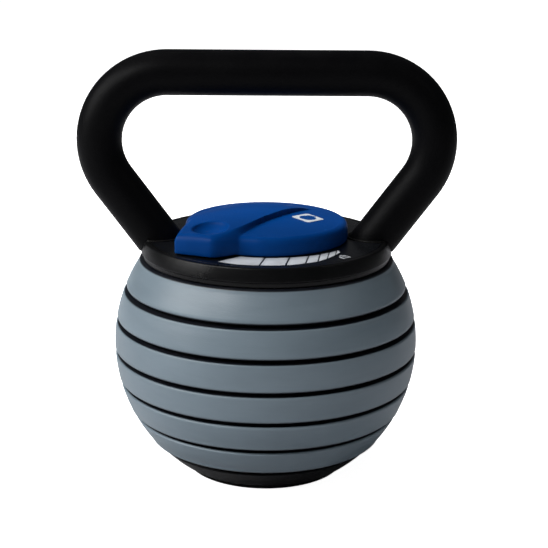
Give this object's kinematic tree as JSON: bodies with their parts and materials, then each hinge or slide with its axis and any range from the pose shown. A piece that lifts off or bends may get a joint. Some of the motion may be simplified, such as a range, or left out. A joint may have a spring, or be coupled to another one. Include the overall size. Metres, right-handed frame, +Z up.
{
  "type": "adjustable kettlebell",
  "caption": "Adjustable kettlebell: ball of stacked enamelled plates on a black base, black tube handle and a rotary dial that selects how many plates lift.",
  "frame": {"origin": "on the floor, under the middle of the ball", "axes": "+Z up; X along the handle's bar; -Y towards the front, where the dial's scale is"},
  "size_m": [0.2454, 0.2, 0.278],
  "materials": {
    "plate_enamel": "satin blue-grey enamel on cast iron",
    "handle_coat": "black fine-textured powder coat on steel tube",
    "housing_coat": "satin black moulding",
    "dial_plastic": "satin blue moulding",
    "black_rubber": "matt black",
    "black_plastic": "satin black moulding",
    "label_film": "printed film, white bars on black",
    "zinc_steel": "zinc-plated",
    "ground_steel": "ground",
    "bearing_bronze": "sintered bronze"
  },
  "bodies": {
    "base": {"base_shell": "black_plastic", "base_cover": "zinc_steel", "base_foot": "black_rubber", "base_screw_1": "zinc_steel", "base_screw_2": "zinc_steel", "base_screw_3": "zinc_steel", "base_screw_4": "zinc_steel"},
    "plate_6_body": {"plate_6": "plate_enamel", "pad_6": "black_rubber"},
    "plate_5_body": {"plate_5": "plate_enamel", "pad_5": "black_rubber"},
    "plate_4_body": {"plate_4": "plate_enamel", "pad_4": "black_rubber"},
    "plate_3_body": {"plate_3": "plate_enamel", "pad_3": "black_rubber"},
    "plate_2_body": {"plate_2": "plate_enamel", "pad_2": "black_rubber"},
    "plate_1_body": {"plate_1": "plate_enamel", "pad_1": "black_rubber"},
    "handle_body": {"handle": "handle_coat", "leg_plug_left": "zinc_steel", "leg_plug_right": "zinc_steel", "handle_bolt_left": "zinc_steel", "handle_bolt_right": "zinc_steel", "carrier_plate": "zinc_steel", "top_housing": "housing_coat", "housing_screw_1": "zinc_steel", "housing_screw_2": "zinc_steel", "housing_screw_3": "zinc_steel", "housing_screw_4": "zinc_steel", "scale_ring": "label_film", "core_cage": "zinc_steel", "cage_screw_1": "zinc_steel", "cage_screw_2": "zinc_steel", "cage_screw_3": "zinc_steel", "core_end_cap": "zinc_steel", "end_cap_screw_1": "zinc_steel", "end_cap_screw_2": "zinc_steel", "spindle_bush": "bearing_bronze", "thrust_washer": "bearing_bronze", "detent_cup": "ground_steel", "detent_spring": "ground_steel"},
    "dial_body": {"dial": "dial_plastic", "selector_spindle": "ground_steel", "spindle_nut": "zinc_steel", "selector_cam_1": "ground_steel", "selector_cam_2": "ground_steel", "selector_cam_3": "ground_steel", "selector_cam_4": "ground_steel", "selector_cam_5": "ground_steel", "selector_cam_6": "ground_steel", "dial_screw_1": "zinc_steel", "dial_screw_2": "zinc_steel", "dial_screw_3": "zinc_steel"},
    "detent_ball_body": {"detent_ball": "ground_steel"}
  },
  "joints": [
    {"name": "plate_6_lift", "type": "slide", "parent": "base", "child": "plate_6_body", "axis": [0, 0, 1], "range_m": [0, 0.04]},
    {"name": "plate_5_lift", "type": "slide", "parent": "plate_6_body", "child": "plate_5_body", "axis": [0, 0, 1], "range_m": [0, 0.04]},
    {"name": "plate_4_lift", "type": "slide", "parent": "plate_5_body", "child": "plate_4_body", "axis": [0, 0, 1], "range_m": [0, 0.04]},
    {"name": "plate_3_lift", "type": "slide", "parent": "plate_4_body", "child": "plate_3_body", "axis": [0, 0, 1], "range_m": [0, 0.04]},
    {"name": "plate_2_lift", "type": "slide", "parent": "plate_3_body", "child": "plate_2_body", "axis": [0, 0, 1], "range_m": [0, 0.04]},
    {"name": "plate_1_lift", "type": "slide", "parent": "plate_2_body", "child": "plate_1_body", "axis": [0, 0, 1], "range_m": [0, 0.04]},
    {"name": "handle_lift", "type": "slide", "parent": "plate_1_body", "child": "handle_body", "axis": [0, 0, 1], "range_m": [0, 0.15]},
    {"name": "dial_turn", "type": "hinge", "parent": "handle_body", "child": "dial_body", "pos_m": [0, 0, 0.15], "axis": [0, 0, 1], "range_deg": [0, 96]},
    {"name": "detent_ball_travel", "type": "slide", "parent": "handle_body", "child": "detent_ball_body", "axis": [0, 0, 1], "range_m": [0, 0.0008], "stiffness_N_per_m": 500, "springref_m": 0.001}
  ]
}
